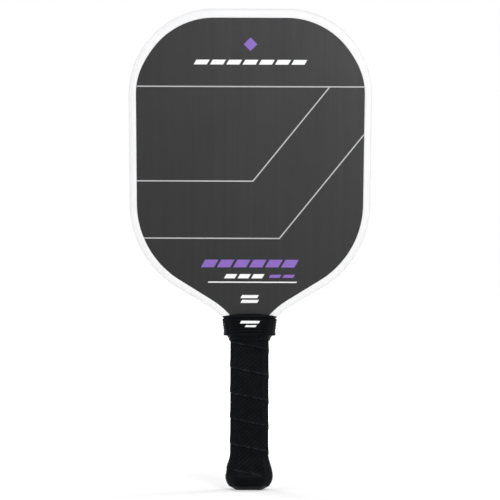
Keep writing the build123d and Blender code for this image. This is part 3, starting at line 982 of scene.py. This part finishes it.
class PADDLE_OT_collar(bpy.types.Operator, PieceOperator):
    """Makes the ribbed rubber collar"""

    bl_idname = "paddle.collar"
    bl_label = "Rubber collar"

    def execute(self, context):
        scene = context.scene
        shape = shape_collar(scene.paddle_handle, scene.paddle_collar)
        self.place_piece("rubber_collar", shape, "collar_rubber", "collar")
        return {"FINISHED"}


class PADDLE_OT_collar_mark(bpy.types.Operator, PieceOperator):
    """Prints two plain slanted bars on the front and rear of the collar"""

    bl_idname = "paddle.collar_mark"
    bl_label = "Collar mark"

    def execute(self, context):
        scene = context.scene
        shape = shape_collar_mark(scene.paddle_handle, scene.paddle_collar)
        self.place_piece("collar_mark", shape, "white_ink")
        return {"FINISHED"}


class PADDLE_OT_cap(bpy.types.Operator, PieceOperator):
    """Makes the rounded butt cap"""

    bl_idname = "paddle.cap"
    bl_label = "Butt cap"

    def execute(self, context):
        shape = shape_cap(context.scene.paddle_handle)
        self.place_piece("rounded_cap", shape, "cap_plastic", "butt_cap")
        return {"FINISHED"}


class PADDLE_OT_guard(bpy.types.Operator, PieceOperator):
    """Runs the edge guard round the panel"""

    bl_idname = "paddle.guard"
    bl_label = "Edge guard"

    def execute(self, context):
        scene = context.scene
        shape = shape_guard(scene.paddle_head, scene.paddle_collar, scene.paddle_handle)
        self.place_piece("beaded_guard", shape, "guard_plastic", "edge_guard")
        return {"FINISHED"}


class PADDLE_OT_stage(bpy.types.Operator):
    """Sets up the floor, the soft lamps, the white surroundings and the camera"""

    bl_idname = "paddle.stage"
    bl_label = "Stage"

    def execute(self, context):
        stage = context.scene.paddle_stage
        self.make_floor(stage)
        self.make_world(stage)
        # name, turn round the paddle, height angle, distance, side, power
        for name, turn, height, away, side, power in (
            ("key", 13, 15, 1.5, 0.35, 9.0),
            ("fill", -50, 20, 2.2, 1.6, 7.0),
            ("rear_left", 205, 28, 2.0, 1.0, 11.0),
            ("rear_right", 130, 25, 2.0, 1.2, 13.0),
        ):
            self.make_lamp(name, radians(turn), radians(height), away, side, power, stage)
        self.make_camera(context, stage)
        return {"FINISHED"}

    def make_floor(self, stage):
        plane = bmesh.new()
        bmesh.ops.create_grid(plane, x_segments=1, y_segments=1, size=stage.floor_size)
        mesh = bpy.data.meshes.new("floor")
        plane.to_mesh(mesh)
        plane.free()
        floor = bpy.data.objects.new("floor", mesh)
        bpy.context.scene.collection.objects.link(floor)
        material = bpy.data.materials.new("floor_finish")
        material.use_nodes = True
        tree = material.node_tree
        tree.nodes.clear()
        matt = add_node(tree, "ShaderNodeBsdfDiffuse", Color=(0.9, 0.9, 0.9, 1.0))
        seen = self.seen_directly(tree)
        # the floor turns to plain white away from the paddle, where its lamps don't reach
        place = tree.nodes.new("ShaderNodeTexCoord").outputs["Object"]
        away = add_node(tree, "ShaderNodeVectorMath", {"operation": "LENGTH"}, _0=place)
        lift = remap(tree, away.outputs["Value"], 0.2, 1.0, stage.floor_lift, 1.0)
        glow = add_node(tree, "ShaderNodeEmission", Strength=math_of(tree, "MULTIPLY", seen, lift))
        both = add_node(tree, "ShaderNodeAddShader", _0=matt.outputs[0], _1=glow.outputs[0])
        add_node(tree, "ShaderNodeOutputMaterial", Surface=both.outputs[0])
        mesh.materials.append(material)

    def seen_directly(self, tree):
        """1 where a ray comes from the camera, or by way of a reflection or glass."""
        path = tree.nodes.new("ShaderNodeLightPath")
        camera_or_gloss = math_of(
            tree, "MAXIMUM", path.outputs["Is Camera Ray"], path.outputs["Is Glossy Ray"]
        )
        return math_of(tree, "MAXIMUM", camera_or_gloss, path.outputs["Is Transmission Ray"])

    def make_world(self, stage):
        world = bpy.data.worlds.new("surroundings")
        bpy.context.scene.world = world
        world.use_nodes = True
        tree = world.node_tree
        tree.nodes.clear()
        strength = remap(tree, self.seen_directly(tree), 0.0, 1.0, stage.ambient, 1.0)
        light = add_node(tree, "ShaderNodeBackground", Color=(1.0, 1.0, 1.0, 1.0), Strength=strength)
        add_node(tree, "ShaderNodeOutputWorld", Surface=light.outputs[0])

    def make_lamp(self, name, turn, height, away, side, power, stage):
        lamp = bpy.data.objects.new(name, bpy.data.lights.new(name, "AREA"))
        bpy.context.scene.collection.objects.link(lamp)
        lamp.data.shape = "DISK"
        lamp.data.size = side
        lamp.data.energy = power
        aim = Vector((0, 0, stage.view_height))
        back = Vector((sin(turn) * cos(height), -cos(turn) * cos(height), sin(height)))
        lamp.location = aim + back * away
        lamp.rotation_euler = back.to_track_quat("Z", "Y").to_euler()

    def make_camera(self, context, stage):
        camera = bpy.data.objects.new("camera", bpy.data.cameras.new("camera"))
        context.scene.collection.objects.link(camera)
        camera.data.lens = stage.lens
        distance = stage.view_width * stage.lens / camera.data.sensor_width
        camera.location = (stage.view_across, -distance, stage.view_height)
        camera.rotation_euler = (pi / 2, stage.roll, 0)
        context.scene.camera = camera
        context.scene.view_settings.view_transform = "Standard"


class PADDLE_PT_panel(bpy.types.Panel):
    """Lists the paddle's pieces"""

    bl_label = "Paddle"
    bl_idname = "PADDLE_PT_panel"
    bl_space_type = "VIEW_3D"
    bl_region_type = "UI"
    bl_category = "Paddle"

    def draw(self, context):
        for operator in operators:
            self.layout.operator(operator.bl_idname)


setting_groups = {
    "paddle_head": PaddleHead,
    "paddle_handle": PaddleHandle,
    "paddle_collar": PaddleCollar,
    "paddle_colours": PaddleColours,
    "paddle_stage": PaddleStage,
}
operators = (
    PADDLE_OT_finishes,
    PADDLE_OT_guard,
    PADDLE_OT_collar,
    PADDLE_OT_collar_mark,
    PADDLE_OT_grip,
    PADDLE_OT_cap,
    PADDLE_OT_stage,
)


def register():
    for name, group in setting_groups.items():
        bpy.utils.register_class(group)
        setattr(bpy.types.Scene, name, PointerProperty(type=group))
    for one in (*operators, PADDLE_PT_panel):
        bpy.utils.register_class(one)


def unregister():
    for one in (PADDLE_PT_panel, *reversed(operators)):
        bpy.utils.unregister_class(one)
    for name, group in setting_groups.items():
        delattr(bpy.types.Scene, name)
        bpy.utils.unregister_class(group)


def main():
    register()
    bpy.ops.paddle.finishes()
    bpy.ops.paddle.guard()
    bpy.ops.paddle.collar()
    bpy.ops.paddle.collar_mark()
    bpy.ops.paddle.grip()
    bpy.ops.paddle.cap()
    bpy.ops.paddle.stage()


if __name__ == "__main__":
    main()
